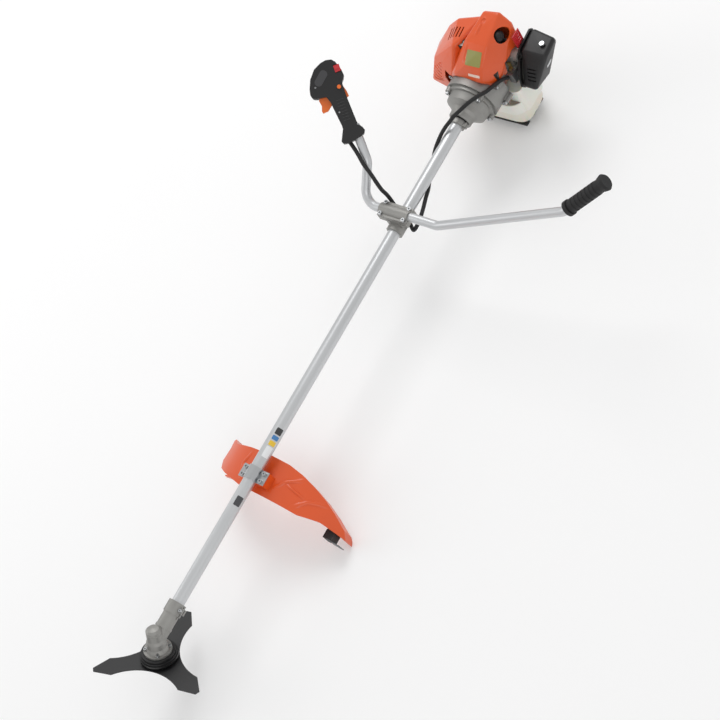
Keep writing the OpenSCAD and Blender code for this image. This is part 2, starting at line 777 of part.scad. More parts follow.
module clutch_housing() color(cast_metal) engine() difference() {
    union() {
        turned_y([[0, 14], [clamp_r + 6.5, 14], [clamp_r + 8, 16], [clamp_r + 8.5, 26],
            [clamp_r + 13, 33], [44, 41.5], [45.5, 51],
            [47, 58], [52, 59], [52, clutch_end], [0, clutch_end]]);
        ear_spots(50, clutch_ears) rod_y(7, 54, clutch_end - seat_gap / 2);
    }
    rod_y(clamp_r + rubber_wall + 0.2, 10, 23.5);
    rod_y(14.05, 20, 39.5);
    rod_y(41.5, 42, clutch_end + 1);
    rod_y(8, 30, 50);
    ear_spots(50, clutch_ears) rod_y(2.7, 40, 80);
    ear_spots(50, clutch_ears) rod_y(4.6, 30, 54);
}

module tube_clamp() color(cast_metal) engine() difference() {
    union() {
        rod_y(clamp_r, 1, 23);
        block([tube_r - 1, clamp_r + 4], [2, 12], [-6, 6]);
    }
    rod_y(tube_r + seat_gap / 2, -20, mouth_depth + 0.2);
    rod_y(10, 0, 30);
    block([tube_r - 2, clamp_r + 13], [-20, 17], [-0.8, 0.8]);
}

module mouth_rubber() color(black) engine() difference() {
    pipe_y(clamp_r + 0.1 + rubber_wall, clamp_r + 0.1, 12.5, 23);
    block([tube_r - 1, clamp_r + 5], [0, 12.3], [-7, 7]);
}

module clutch_drum() color(steel) engine() difference() {
    union() {
        rod_y(6, 22, 46);
        rod_y(drum_r, 44, 47);
        pipe_y(drum_r, drum_r - 2.3, 44, 64);
    }
    rod_y(3.03, 10, 38);
}

module clutch_shoes() color("#77787a") engine() for (s = [0, 180]) rotate([0, s, 0])
    difference() {
        rod_y(drum_r - 3, 49, 61);
        block([-50, 50], [40, 70], [-50, 3]);
        rod_y(13, 40, 70);
        translate([20, 0, 8]) rod_y(3, 40, 70);
    }

module fan_housing() color(cast_metal) engine() difference() {
    union() {
        rod_y(fan_r, clutch_end + seat_gap, fan_end);
        ear_spots(50, clutch_ears) rod_y(7, clutch_end + seat_gap, clutch_end + 12);
        ear_spots(fan_r + 5, case_ears) rod_y(6, 96, fan_end);
        ear_spots(fan_r, case_ears) rod_y(6, 96, fan_end);
    }
    rod_y(50, clutch_end + 4, fan_end + 1);
    rod_y(32, clutch_end - 1, clutch_end + 10);
    block([-17, 17], [84, 106], [40, 62]);
    ear_spots(50, clutch_ears) rod_y(2.7, 60, 90);
    ear_spots(fan_r + 5, case_ears) rod_y(2.7, 90, 120);
}

module flywheel() color("#8f9193") engine() difference() {
    union() {
        rod_y(46, 88, 98);
        rod_y(15, 72, 104);
        for (a = [0 : 22.5 : 337.5]) rotate([0, a, 0])
            block([22, 45], [74, 89], [-1.2, 1.2]);
        for (x = [-20, 20]) translate([x, 0, 8 * sign(x)]) rod_y(2.9, 62, 89);
    }
    rod_y(7.55, 60, 110);
}

module ignition_coil() color("#303234") engine() union() {
    block([-15, 15], [87, 103], [fan_r - 2, fan_r + 7]);
    for (x = [-11, 11]) block([x - 3, x + 3], [90, 96], [48.5, fan_r]);
}

// ---------------------------------------------------------------- engine block

module crankcase() color(cast_metal) engine() difference() {
    union() {
        rod_y(fan_r, fan_end + seat_gap, fan_end + 5);
        ear_spots(fan_r + 5, case_ears) rod_y(6, fan_end + seat_gap, fan_end + 5);
        ear_spots(fan_r, case_ears) rod_y(6, fan_end + seat_gap, fan_end + 5);
        rod_y(crank_r, fan_end, case_end);
        block([-30, 30], [bore_y - 28, bore_y + 28], [0, 40]);
        rod_y(fan_r, case_end - 4, case_end);
    }
    rod_y(main_bearing[1] / 2 + seat_gap / 2, bearing_f - 4, bearing_b + 15);
    rod_y(web_r + 2, bearing_f + 11.5, bearing_b - 0.5);
    rod_y(12, fan_end - 1, case_end + 1);
    translate([0, bore_y, 0]) cylinder(r = bore_d / 2 + 3.2, h = 60);
    ear_spots(fan_r + 5, case_ears) rod_y(2.7, 100, 125);
}

module crankshaft() color(steel) engine() union() {
    rod_y(main_bearing[0] / 2, 66, bore_y - 9);
    rod_y(main_bearing[0] / 2, bore_y + 9, 196);
    for (y = [bore_y - 13, bore_y + 4]) difference() {
        rod_y(web_r, y, y + 9);
        for (x = [-40, 14]) block([x, x + 26], [y - 1, y + 10], [-2, 40]);
    }
    translate([0, 0, -stroke / 2]) rod_y(6, bore_y - 6, bore_y + 6);
}

fin_zs = [for (i = [0 : 5]) 66 + i * 6.4];
plug_port_r = 7.2;

module plug_frame() {
    translate(plug_seat) rotate([0, plug_tilt, plug_turn]) children();
}

module cylinder_block() {
    translate([0, bore_y, 40.1]) cylinder(r = bore_d / 2 + 4.5, h = 62);
    translate([0, bore_y, 38]) cylinder(r = bore_d / 2 + 3, h = 4);
    block([-27, 27], [bore_y - 25, bore_y + 25], [40.1, 45]);
    for (z = fin_zs) block([-31, 33], [bore_y - 25, bore_y + 25], [z, z + 2]);
    block([0, 46], [carb_y - 22, carb_y + 7], [48, 62]);
    block([-46, 0], [142, 162], [46, 62]);
}

module cylinder_node() {
    difference() {
        cylinder_block();
        translate([0, bore_y, 20])
            cylinder(r = bore_d / 2, h = piston_z - 20 + piston_h + stroke + 7);
        plug_frame() translate([0, 0, -20]) cylinder(r = plug_port_r, h = 80);
        plug_frame() translate([0, 0, 2]) cylinder(r = 13, h = 60);
    }
}

module cylinder_part() color("#a5a6a8") engine() cylinder_node();

module piston() color("#b4b6b8") engine() difference() {
    translate([0, bore_y, piston_z]) cylinder(r = bore_d / 2 - piston_gap, h = piston_h);
    translate([0, bore_y, piston_z - 1]) cylinder(r = bore_d / 2 - 3, h = piston_h - 4);
    for (z = [5.5, 3]) translate([0, bore_y, piston_z + piston_h - z]) difference() {
        cylinder(r = bore_d / 2 + 1, h = 1);
        translate([0, 0, -1]) cylinder(r = bore_d / 2 - 1.2, h = 3);
    }
}

module spark_plug() color("#e6e4df") engine() plug_frame() union() {
    translate([0, 0, -6]) cylinder(r = plug_port_r - seat_gap, h = 8);
    translate([0, 0, 2]) cylinder(r = 6, h = 8);
    translate([0, 0, 10]) cylinder(r = 9.5, h = 7, $fn = 6);
    translate([0, 0, 17]) cylinder(r = 5, h = 18);
    translate([0, 0, 35]) cylinder(r = 2.5, h = 6);
}

module plug_cap() color(black) engine() plug_frame() difference() {
    union() {
        translate([0, 0, 18]) cylinder(r = 9, h = 30);
        translate([0, 0, 40]) sphere(r = 12);
        hull() {
            translate([0, 0, 40]) sphere(r = 9, $fn = 24);
            translate([-6, -4, 46]) sphere(r = 7, $fn = 24);
        }
    }
    translate([0, 0, 10]) cylinder(r = 5.1, h = 25.2);
    translate([0, 0, 30]) cylinder(r = 2.6, h = 11.2);
}

// ---------------------------------------------------------------- covers

// hood with a side profile, open below and towards one side
// rounded shell points: centres of the corner spheres
corner_r = 8;
hood_points = [
    [14, 194, 124], [46, 194, 129], [64, 192, 108], [-2, 136, 108], [44, 132, 108],
    [8, 100, 84], [40, 100, 82], [-24, 90, 58], [38, 88, 56], [-38, 94, 46],
    [50, 104, 30], [61, 140, 62], [63, 190, 60], [-38, 190, 60], [54, 136, 30],
];
cowl_points = [
    [-107, 98, 2], [-80, 98, -13], [-42, 94, 44], [-110, 156, 38], [-108, 160, -8],
    [-103, 124, 38], [-78, 176, 78], [-52, 180, 99], [0, 186, 112], [-34, 126, 98],
    [-82, 186, -10], [-40, 188, 60], [-60, 100, 10],
];
seam_at = [5, 195];
seam_turn = 24;

module corners(points, r) {
    hull() for (p = points) translate(p) sphere(r = r, $fn = 24);
}

// both covers as one shell
module cowl() {
    difference() {
        union() {
            corners(hood_points, corner_r);
            corners(cowl_points, corner_r);
        }
        corners(hood_points, corner_r - cover_wall);
        corners(cowl_points, corner_r - cover_wall);
    }
}

// everything on one side of the seam between the covers
module seam_side(side) {
    translate([seam_at[0], seam_at[1], 0]) rotate([0, 0, -seam_turn])
        translate([side > 0 ? seat_gap : -400 - seat_gap, -250, -100]) cube([400, 400, 400]);
}

module top_cover() color(orange) engine() difference() {
    intersection() {
        cowl();
        seam_side(1);
    }
    engine_clearance();
    block([-100, 100], [60, 240], [-40, 18]);
    // sides open to the muffler and the carburettor
    block([-80, 60], [104, 212], [10, 55]);
    block([44, 100], [134, 212], [10, 60]);
    plug_frame() cylinder(r = 16, h = 90);
    translate([20, 176, 118]) cylinder(r = 6, h = 30);
}

// room inside the covers for the housings, the fins and the head
module engine_clearance() {
    rod_y(fan_r + 0.6, 40, fan_end + 6);
    rod_y(fan_r + 1.6, case_end - 5, 230);
    ear_spots(fan_r + 5, case_ears) rod_y(8, 80, 125);
    block([-33, 35], [bore_y - 27, bore_y + 27], [50, 100.5]);
    translate([0, bore_y, 20]) cylinder(r = bore_d / 2 + 6, h = 84);
    translate([62, carb_y - 6, 50]) rotate([0, 90, 0]) cylinder(r = 14, h = 30);
}

module muffler_cover() color(orange) engine() difference() {
    intersection() {
        cowl();
        seam_side(-1);
    }
    engine_clearance();
    block([-66, 60], [60, 240], [-40, 44]);
    block([-52, 60], [110, 220], [40, 72]);
    // cooling slots
    for (i = [0 : 4]) block([-66 + i * 9, -62.4 + i * 9], [140, 164], [60, 140]);
    for (i = [0 : 7]) block([-130, -78], [60, 108], [10 + i * 6, 13 + i * 6]);
    for (i = [0 : 6]) block([-130, -108], [114 + i * 7, 117 + i * 7], [2, 30]);
}

module muffler() color("#6f6d6b") engine() union() {
    hull() {
        block([-93, -66.2], [134, 174], [2, 16]);
        block([-78, -62], [150, 172], [16, 54]);
    }
    block([-62.1, -46.2], [142, 162], [46, 54]);
}

module choke_lever() color("#b8232a") engine() difference() {
    union() {
        block([78.5, 80.5], [172, 196], [62, 98]);
        translate([78.5, 181, 62]) rotate([0, 90, 0]) cylinder(r = 6, h = 2);
    }
    for (i = [0 : 3]) block([70, 90], [176, 192], [70 + i * 7, 73 + i * 7]);
    translate([0, 181, 62]) rotate([0, 90, 0]) cylinder(r = 2.1, h = 100);
}

module carburettor() color("#8a8c8e") engine() difference() {
    union() {
        block([46.2, 52], [carb_y - 22, carb_y + 8], [34, 64]);
        block([52, 72], [carb_y - 20, carb_y + 8], [28, 58]);
        translate([62, carb_y - 6, 14]) cylinder(r = 13, h = 15);
        translate([46.2, carb_y - 6, 50]) rotate([0, 90, 0]) cylinder(r = 13, h = base_x - 46.3);
    }
    translate([40, carb_y - 6, 50]) rotate([0, 90, 0]) cylinder(r = 8.5, h = 60);
    translate([62, carb_y - 20, 38]) rod_y(2.05, -5, 14);
}

module carb_lever() color("#c8a34a") engine() translate([62, carb_y - 20, 38]) union() {
    rod_y(2, -5, 12);
    block([-4, 4], [-4.5, -2], [-15, 4]);
    block([-3, 3], [-9, -4], [-15, -11]);
}

module throttle_bracket() color("#c9c6bd") engine() union() {
    block([75.4, 77.4], [128, 150], [2, 30]);
    block([63, 76], [128, 130.2], [2, 27]);
}

// side outline of the air cleaner, [station, height]
cleaner_outline = [[128, -8], [132, 10], [161, 60], [170, 67], [216, 71], [223, 64],
    [221, 40], [194, -14], [186, -20], [134, -18]];
screw_xy = [130, 190];
screw_arm = [42, 48];

module filter_base() color(black) engine() difference() {
    union() {
        profile_x(base_x, base_x + 4) polygon(cleaner_outline);
        translate([77, 181, 62]) rotate([0, 90, 0]) cylinder(r = 2, h = 8);
        block([base_x, screw_xy[0] + 6], [screw_xy[1] - 6, screw_xy[1] + 6], screw_arm);
    }
    translate([base_x - 1, carb_y - 6, 50]) rotate([0, 90, 0]) cylinder(r = 8.5, h = 10);
    translate([screw_xy[0], screw_xy[1], 20]) cylinder(r = 2.6, h = 60);
}

module filter_element() color("#4b4b46") engine() difference() {
    profile_x(base_x + 4.2, base_x + 22) offset(delta = -8) polygon(cleaner_outline);
    block([80, 140], [screw_xy[1] - 7, screw_xy[1] + 7], [screw_arm[0] - 1, screw_arm[1] + 1]);
}

cleaner_face = [
    [140, 172, 56], [138, 208, 58], [132, 214, 46], [116, 136, -4], [118, 176, -9],
];
cleaner_rim = [
    [96, 172, 58], [96, 214, 62], [96, 213, 42], [96, 138, -6], [96, 184, -10],
];

module air_cover() color(black) engine() difference() {
    corners(concat(cleaner_face, cleaner_rim), corner_r);
    corners(concat(cleaner_face, cleaner_rim, [for (p = cleaner_rim) p - [24, 0, 0]]),
        corner_r - cover_wall);
    block([60, base_x + 4.2], [100, 240], [-60, 120]);
    translate([screw_xy[0], screw_xy[1], 50]) cylinder(r = 3, h = 60);
    for (i = [0 : 3]) block([104, 124], [120, 158], [10 + i * 7, 13 + i * 7]);
}

module air_cover_screw() color(bright_metal) engine()
    translate([screw_xy[0], screw_xy[1], 0]) union() {
        translate([0, 0, screw_arm[0] - 4]) cylinder(r = 2.5, h = cover_top - screw_arm[0] + 5);
        translate([0, 0, cover_top]) cylinder(r = 5.5, h = 4);
    }

// ---------------------------------------------------------------- tank, starter

tank_corner = 30;
tank_x = [-84, 70];
tank_y_span = [106, 196];
module tank_shape(inset) {
    z0 = -axis_h + foot_h;
    difference() {
        union() {
            hull() for (x = [tank_x[0] + tank_corner, tank_x[1] - tank_corner])
                for (y = [tank_y_span[0] + tank_corner, tank_y_span[1] - tank_corner])
                    translate([x, y, 0]) {
                        translate([0, 0, z0 + tank_corner / 2])
                            cylinder(r = tank_corner - inset, h = 56, $fn = 32);
                        translate([0, 0, z0 + inset])
                            cylinder(r = tank_corner - 9 - inset, h = 60, $fn = 32);
                    }
            hull() for (x = [46, 62]) for (y = [134, 180])
                translate([x, y, z0 + 40]) cylinder(r = 12 - inset, h = 66 - inset, $fn = 32);
        }
        rod_y(crank_r + 8 + inset, fan_end, 210);
        rod_y(fan_r + 8 + inset, 90, fan_end + 6 + inset);
        rod_y(fan_r + 4 + inset, case_end - 6 - inset, 210);
    }
}

module fuel_tank() color("#e9e6dc") engine() difference() {
    union() {
        tank_shape(0);
        translate(cap_pos) rotate([-90, 0, 0]) cylinder(r = 15, h = 13);
    }
    tank_shape(tank_wall);
    translate(cap_pos - [0, 6, 0]) rotate([-90, 0, 0]) cylinder(r = 12.5, h = 40);
}

module fuel_cap() color(black) engine() translate(cap_pos + [0, 13.3, 0]) rotate([-90, 0, 0])
    difference() {
        union() {
            cylinder(r = 18, h = 9);
            translate([0, 0, -8]) cylinder(r = 12.2, h = 8.1);
        }
        for (a = [0 : 30 : 330]) rotate([0, 0, a]) translate([18.6, 0, -1]) cylinder(r = 2, h = 12);
    }

module tank_feet() color(black) engine() {
    for (y = [112, 141, 172])
        block([-62, 58], [y, y + 12], [-axis_h, -axis_h + foot_h - 0.1]);
}

module starter_housing() color(black) engine() difference() {
    union() {
        rod_y(fan_r + 1, case_end + seat_gap, 204);
        translate([0, 204, 0]) rotate([-90, 0, 0]) cylinder(r1 = fan_r + 1, r2 = fan_r - 14, h = 16);
        block([34, 56], [197, 211], [-43, -29]);
    }
    rod_y(fan_r - 2, case_end - 1, 203);
    translate([0, 202.9, 0]) rotate([-90, 0, 0]) cylinder(r1 = fan_r - 2, r2 = fan_r - 18, h = 14);
    for (a = [0 : 30 : 330]) rotate([0, a, 0]) block([22, 40], [190, 230], [-2, 2]);
    translate([30, 204, -36]) rotate([0, 90, 0]) cylinder(r = 2.5, h = 50);
}

module starter_handle() color(black) engine() translate([56.3, 204, -36]) rotate([0, 90, 0])
    union() {
        cylinder(r1 = 6, r2 = 5, h = 8);
        translate([-20, -6, 8]) cube([40, 12, 11]);
    }

module engine_screw_spots() {
    engine() ear_spots(50, clutch_ears) translate([0, 54, 0]) rotate([90, 0, 0]) children();
    engine() ear_spots(fan_r + 5, case_ears) translate([0, 96, 0]) rotate([90, 0, 0]) children();
}

// ---------------------------------------------------------------- the machine

gear_case();
case_screws();
dust_cover();
ball_bearings();
pinion();
bevel_gear();
output_shaft();
inner_flange();
blade();
outer_flange();
blade_nut();
shaft_tube();
drive_shaft();
shaft_bushes();
guard();
guard_bracket();
guard_strap();
line_cutter();
line_knife();
bar_clamp_base();
bar_clamp_cap();
handlebar();
plain_grip();
throttle_shell_left();
throttle_shell_right();
trigger();
safety_lever();
stop_switch();
lock_button();
cable_sleeve();
clutch_housing();
tube_clamp();
mouth_rubber();
clutch_drum();
clutch_shoes();
fan_housing();
flywheel();
ignition_coil();
crankcase();
crankshaft();
cylinder_part();  // cylinder
piston();
spark_plug();
plug_cap();
muffler();
muffler_cover();
top_cover();
carburettor();
carb_lever();
throttle_bracket();
choke_lever();
filter_base();
filter_element();
air_cover();
air_cover_screw();
fuel_tank();
fuel_cap();
tank_feet();
starter_housing();
starter_handle();
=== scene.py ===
# %% [markdown]
# # A petrol brush cutter, finished in Blender
# The CAD model gives every piece its true shape, size and joint. This lesson adds what CAD
# leaves out: the grain of moulded plastic, cast and drawn metal, smooth bends, raised ribs,
# plates and stickers, and then a camera and soft studio light.

import json
import math

import bmesh
import bpy
from mathutils import Matrix, Vector
from mathutils.bvhtree import BVHTree


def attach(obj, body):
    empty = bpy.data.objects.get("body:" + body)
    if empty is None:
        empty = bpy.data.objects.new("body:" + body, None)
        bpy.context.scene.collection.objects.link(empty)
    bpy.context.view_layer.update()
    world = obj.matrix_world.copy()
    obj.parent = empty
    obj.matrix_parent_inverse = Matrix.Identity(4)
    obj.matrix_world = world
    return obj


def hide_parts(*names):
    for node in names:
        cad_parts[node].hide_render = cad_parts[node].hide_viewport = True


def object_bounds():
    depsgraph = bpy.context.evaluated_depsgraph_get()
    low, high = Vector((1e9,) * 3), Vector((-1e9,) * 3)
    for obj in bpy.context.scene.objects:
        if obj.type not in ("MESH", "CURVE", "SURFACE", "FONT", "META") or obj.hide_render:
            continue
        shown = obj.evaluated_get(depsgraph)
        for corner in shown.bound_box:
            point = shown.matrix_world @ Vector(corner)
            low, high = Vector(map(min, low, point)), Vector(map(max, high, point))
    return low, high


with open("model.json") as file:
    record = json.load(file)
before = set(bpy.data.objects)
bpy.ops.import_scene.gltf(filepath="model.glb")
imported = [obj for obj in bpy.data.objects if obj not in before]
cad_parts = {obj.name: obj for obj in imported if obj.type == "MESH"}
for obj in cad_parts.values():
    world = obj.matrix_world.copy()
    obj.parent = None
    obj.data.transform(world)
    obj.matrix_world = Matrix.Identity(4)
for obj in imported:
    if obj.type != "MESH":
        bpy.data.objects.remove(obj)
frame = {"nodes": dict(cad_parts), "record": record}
cad_low, cad_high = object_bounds()

# %% [markdown]
# ## Two frames of reference
# The part's origin is on the ground under the fuel tank. Places along the shaft are easier to
# describe from its axis, so one helper turns millimetres along the shaft into the part's
# metres. The throttle handle leans two ways, so it gets three directions of its own.

# %% Frames
SHAFT_HEIGHT = 0.138
COLLAR_Y = -1.257


def shaft_point(x, along, z):
    """A point given in millimetres from the gear case collar on the shaft axis."""
    return Vector((x / 1000, COLLAR_Y + along / 1000, SHAFT_HEIGHT + z / 1000))


HANDLE_ORIGIN = shaft_point(-110.574, 962.882, 124.232)
HANDLE_SIDE = Vector((0.5624, -0.2947, 0.7726))
HANDLE_BACK = Vector((0.6469, 0.7388, -0.1890))
HANDLE_UP = Vector((-0.5150, 0.6061, 0.6061))


def handle_point(side, back, up):
    """A point given in millimetres in the throttle handle's own frame."""
    return HANDLE_ORIGIN + (HANDLE_SIDE * side + HANDLE_BACK * back + HANDLE_UP * up) / 1000


# %% [markdown]
# ## Arithmetic on a surface
# A shader value is a socket, and joining maths nodes by hand is slow to read. This small class
# wraps a socket so that ordinary + and * write the nodes. Colours and vectors go through Mix
# and Vector Math nodes instead.

# %% Value
class Value:
    """A number that changes over a surface."""

    def __init__(self, tree, socket):
        self.tree, self.socket = tree, socket

    def maths(self, operation, a, b):
        node = self.tree.nodes.new("ShaderNodeMath")
        node.operation = operation
        for place, item in enumerate((a, b)):
            if isinstance(item, Value):
                self.tree.links.new(item.socket, node.inputs[place])
            else:
                node.inputs[place].default_value = item
        return Value(self.tree, node.outputs[0])

    def __add__(self, other):
        return self.maths("ADD", self, other)

    def __mul__(self, other):
        return self.maths("MULTIPLY", self, other)

    def below(self, edge):
        """1 where the number is less than the edge, else 0."""
        return self.maths("LESS_THAN", self, edge)


# %% Finish
class Finish:
    """A material with short methods for its nodes. Texture places are the part's own metres."""

    def __init__(self, name, **shader):
        self.material = bpy.data.materials.new(name)
        self.material.use_nodes = True
        self.tree = self.material.node_tree
        self.shader = self.tree.nodes["Principled BSDF"]
        self.place = self.node("ShaderNodeTexCoord").outputs["Object"]
        for socket, value in shader.items():
            self.shader.inputs[socket.replace("_", " ").title()].default_value = value

    def node(self, kind, settings=None, inputs=None):
        made = self.tree.nodes.new(kind)
        for key, value in (settings or {}).items():
            setattr(made, key, value)
        for key, value in (inputs or {}).items():
            self.feed(made.inputs[key], value)
        return made

    def feed(self, socket, value):
        if isinstance(value, Value):
            value = value.socket
        if isinstance(value, bpy.types.NodeSocket):
            self.tree.links.new(value, socket)
        else:
            socket.default_value = value

    def stretched(self, factors):
        return self.node("ShaderNodeVectorMath", {"operation": "MULTIPLY"},
                         {0: self.place, 1: factors}).outputs[0]

    def noise(self, scale, detail=2.0, stretch=(1, 1, 1)):
        """Soft noise with `scale` lumps in a metre, longer along an axis with a small stretch."""
        made = self.node("ShaderNodeTexNoise", None,
                         {"Vector": self.stretched(stretch), "Scale": scale, "Detail": detail})
        return Value(self.tree, made.outputs[0])

    def cells(self, scale):
        """Distance to the nearest of many scattered points."""
        made = self.node("ShaderNodeTexVoronoi", None, {"Vector": self.place, "Scale": scale})
        return Value(self.tree, made.outputs["Distance"])

    def blend(self, factor, first, second):
        made = self.node("ShaderNodeMix", {"data_type": "RGBA"},
                         {0: factor, 6: first, 7: second})
        return made.outputs[2]

    def colour(self, value):
        self.feed(self.shader.inputs["Base Color"], value)

    def roughness(self, value):
        self.feed(self.shader.inputs["Roughness"], value)

    def relief(self, height, strength, depth):
        """Small relief: `depth` metres high at full strength."""
        bump = self.node("ShaderNodeBump", None,
                         {"Height": height, "Strength": strength, "Distance": depth})
        self.tree.links.new(bump.outputs[0], self.shader.inputs["Normal"])


def rgba(red, green, blue):
    return (red, green, blue, 1.0)


def shade(colour, factor):
    """The colour made darker or lighter by a factor."""
    return tuple(min(1.0, c * factor) for c in colour[:3]) + (1.0,)


# %% [markdown]
# ## Moulded plastic
# Covers, guard, tank and levers are injection moulded. A mould is spark eroded or polished, so
# the plastic copies a fine grain, and the gloss wanders slightly where the melt flowed. One
# function makes them all: the grain is fine noise as relief, the wandering is broad noise in
# the roughness and colour.

# %% Moulded plastic
def moulded(name, colour, roughness, grain, coat=0.0, depth=0.00012):
    made = Finish(name, coat_weight=coat, coat_roughness=0.12)
    flow = made.noise(14, 3)
    made.colour(made.blend(flow, shade(colour, 0.93), shade(colour, 1.06)))
    made.roughness(flow * 0.14 + (roughness - 0.07))
    made.relief(made.noise(grain, 3), 0.35, depth)
    return made.material


ORANGE = rgba(0.70, 0.085, 0.010)
LEVER_ORANGE = rgba(0.80, 0.15, 0.012)
RED = rgba(0.56, 0.022, 0.03)
BLACK = rgba(0.006, 0.006, 0.0065)
TANK_WHITE = rgba(0.80, 0.78, 0.72)

finishes = {
    "orange_plastic": moulded("orange_plastic", ORANGE, 0.34, 700, coat=0.25),
    "orange_lever": moulded("orange_lever", LEVER_ORANGE, 0.38, 900, coat=0.1),
    "red_plastic": moulded("red_plastic", RED, 0.36, 900, coat=0.1),
    "black_plastic": moulded("black_plastic", BLACK, 0.46, 1100, depth=0.0002),
    "ceramic": moulded("ceramic", rgba(0.86, 0.84, 0.79), 0.15, 300, coat=0.6),
}

# %% [markdown]
# ## The translucent tank
# The fuel tank is blow moulded from natural polyethylene: milky, with light scattering inside.
# Subsurface scattering of a few millimetres gives that softness, and the fuel shows as a
# slightly warmer and darker band in the lower part, with a level edge.

# %% Tank
FUEL_LEVEL = 0.045
FUEL_TINT = rgba(0.72, 0.66, 0.54)


def milky_tank():
    made = Finish("tank_plastic", subsurface_weight=0.35, subsurface_scale=0.006)
    height = Value(made.tree, made.node("ShaderNodeSeparateXYZ", None,
                                        {0: made.place}).outputs["Z"])
    made.colour(made.blend(height.below(FUEL_LEVEL) * 0.5, TANK_WHITE, FUEL_TINT))
    made.roughness(made.noise(30, 3) * 0.15 + 0.36)
    made.relief(made.noise(260, 3), 0.3, 0.0003)
    return made.material


finishes["tank_plastic"] = milky_tank()

# %% [markdown]
# ## Cast aluminium
# Gear case, clamps, clutch and fan housings are die cast and shot blasted: a dull grey with
# fine pits and a broad cloudiness. Two noises and scattered cells make pits and clouds.

# %% Cast aluminium
def cast_metal(name, colour, roughness):
    made = Finish(name, metallic=0.8)
    cloud = made.noise(45, 4)
    pits = made.cells(650)
    made.colour(made.blend(cloud, shade(colour, 0.8), shade(colour, 1.12)))
    made.roughness(cloud * 0.22 + (roughness - 0.11))
    made.relief(pits * 0.6 + made.noise(900, 3) * 0.7, 0.5, 0.00035)
    return made.material


finishes["cast_aluminium"] = cast_metal("cast_aluminium", rgba(0.33, 0.325, 0.31), 0.5)
finishes["brass"] = cast_metal("brass", rgba(0.62, 0.42, 0.15), 0.34)

# %% [markdown]
# ## Drawn tube, turned and ground steel
# The shaft tube and handlebar are drawn and anodised: very fine lines run along the tube. The
# steel pieces are turned or ground. Noise that is stretched a hundred times along one axis
# makes such lines, and they change both the relief and the roughness.

# %% Drawn and turned metal
def lined_metal(name, colour, roughness, stretch, lines=0.1, metallic=1.0):
    made = Finish(name, metallic=metallic)
    line = made.noise(1, 3, stretch)
    smudge = made.noise(9, 3)
    made.colour(made.blend(line * 0.5 + smudge * 0.5, shade(colour, 0.9), shade(colour, 1.05)))
    made.roughness(line * lines + smudge * 0.12 + (roughness - 0.1))
    made.relief(line, 0.2, 0.00006)
    return made.material


ALONG_TUBE = (1500, 15, 1500)
ROUND_TURNED = (900, 900, 900)
finishes["tube_aluminium"] = lined_metal(
    "tube_aluminium", rgba(0.60, 0.61, 0.62), 0.36, ALONG_TUBE, metallic=0.75)
finishes["bright_steel"] = lined_metal(
    "bright_steel", rgba(0.50, 0.51, 0.52), 0.32, ROUND_TURNED)
finishes["dark_steel"] = lined_metal(
    "dark_steel", rgba(0.20, 0.20, 0.21), 0.38, ROUND_TURNED)

# %% [markdown]
# ## Paint, rubber and foam
# The blade is powder coated: an orange-peel ripple under a satin black. Rubber is matt with a
# fine tooth. The muffler's steel is darkened by heat in clouds. The filter is open foam, where
# cells make the pores. Rubber and foam get painted shade in each pore, and are lighter between
# the pores.

# %% Paint, rubber and foam
def painted(name, colour, roughness, ripple):
    made = Finish(name, coat_weight=0.15, coat_roughness=0.3)
    wear = made.noise(30, 4)
    made.colour(made.blend(wear, shade(colour, 0.85), shade(colour, 1.25)))
    made.roughness(wear * 0.16 + (roughness - 0.08))
    made.relief(made.noise(ripple, 2), 0.35, 0.0002)
    return made.material


def porous(name, colour, roughness, pores, depth):
    made = Finish(name)
    pore_depth_and_shade = made.cells(pores)
    # Painted shade: the colour is darker in each pore, where the relief dips, and lighter between
    # the pores.
    made.colour(made.blend(pore_depth_and_shade, shade(colour, 0.6), shade(colour, 1.3)))
    made.roughness(made.noise(60, 3) * 0.1 + (roughness - 0.05))
    made.relief(pore_depth_and_shade + made.noise(pores * 2, 2) * 0.5, 0.5, depth)
    return made.material


finishes["blade_paint"] = painted("blade_paint", rgba(0.008, 0.008, 0.009), 0.42, 500)
finishes["muffler_steel"] = painted("muffler_steel", rgba(0.11, 0.10, 0.095), 0.6, 160)
finishes["rubber"] = porous("rubber", rgba(0.006, 0.006, 0.0065), 0.62, 1400, 0.0002)
finishes["foam"] = porous("foam", rgba(0.06, 0.06, 0.05), 0.9, 500, 0.0012)

slot_of = {row["node"]: row["material_slot"] for row in frame["record"]["subparts"]}
for name, slot in slot_of.items():
    for place in frame["nodes"][name].material_slots:
        place.material = finishes[slot]
print("finishes:", len(finishes))

# %% [markdown]
# ## Softening the moulded shells
# The hood, covers, tank and plug boot come from CAD as flat facets. A moulded shell has no
# facets: its shade changes smoothly and only its real edges stay sharp. A welded copy with
# smooth shading below a set angle stands for each such node. The copies keep the CAD shape, so
# the tank's copy is open on top as the CAD tank is.

# %% Softened copies
SOFT_ANGLE = 32
WELD = 1e-6
body_of = {node: body for body, nodes in frame["record"]["behaviour"]["bodies"].items()
           for node in nodes}


def softened(node):
    """A welded copy of a CAD node with smooth shading, which replaces the node."""
    mesh = frame["nodes"][node].data.copy()
    work = bmesh.new()
    work.from_mesh(mesh)
    bmesh.ops.remove_doubles(work, verts=work.verts, dist=WELD)
    work.to_mesh(mesh)
    work.free()
    if mesh.has_custom_normals:
        mesh.attributes.remove(mesh.attributes["custom_normal"])
    mesh.shade_smooth()
    mesh.set_sharp_from_angle(angle=math.radians(SOFT_ANGLE))
    piece = bpy.data.objects.new(node + "_smooth", mesh)
    bpy.context.collection.objects.link(piece)
    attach(piece, body_of[node])
    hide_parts(node)
    return piece


for name in ("top_cover", "muffler_cover", "air_cover", "fuel_tank", "plug_cap"):
    copy = softened(name)
    print(copy.name, len(copy.data.polygons), "faces")

# %% [markdown]
# ## Pipes along a line
# The handlebar is one bent tube and the throttle cable is one sleeve. Both are rings swept
# along a line. The first ring's normal is carried from point to point, so the skin never
# twists.

# %% Sweep
EDGE_ANGLE = 40


